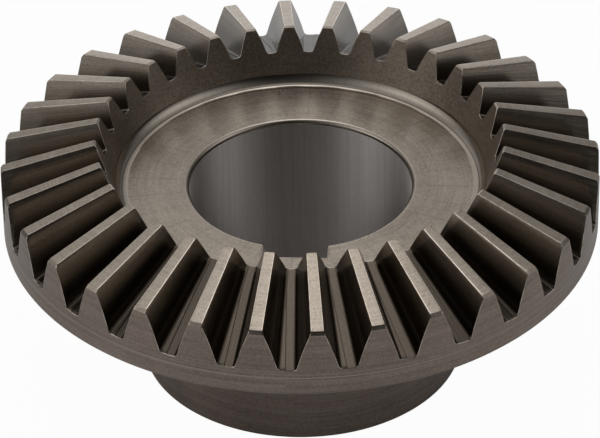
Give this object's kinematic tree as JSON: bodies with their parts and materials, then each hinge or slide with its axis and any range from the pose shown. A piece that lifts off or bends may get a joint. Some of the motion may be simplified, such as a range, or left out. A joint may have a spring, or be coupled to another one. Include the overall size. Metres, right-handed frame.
{
  "type": "bevel gear wheel",
  "caption": "Straight bevel gear wheel with a hub, a turned recess in its face and a keyed bore.",
  "frame": {"origin": "middle of the hub's end face, on which the wheel stands", "axes": "+Z along the axis from the hub towards the teeth; the keyway and one tooth space face -Y"},
  "size_m": [0.1338, 0.1338, 0.0573],
  "materials": {
    "steel": "turned and cut bare steel, lightly oiled, brown-grey"
  },
  "bodies": {
    "root": {"gear_wheel": "steel"}
  },
  "joints": []
}
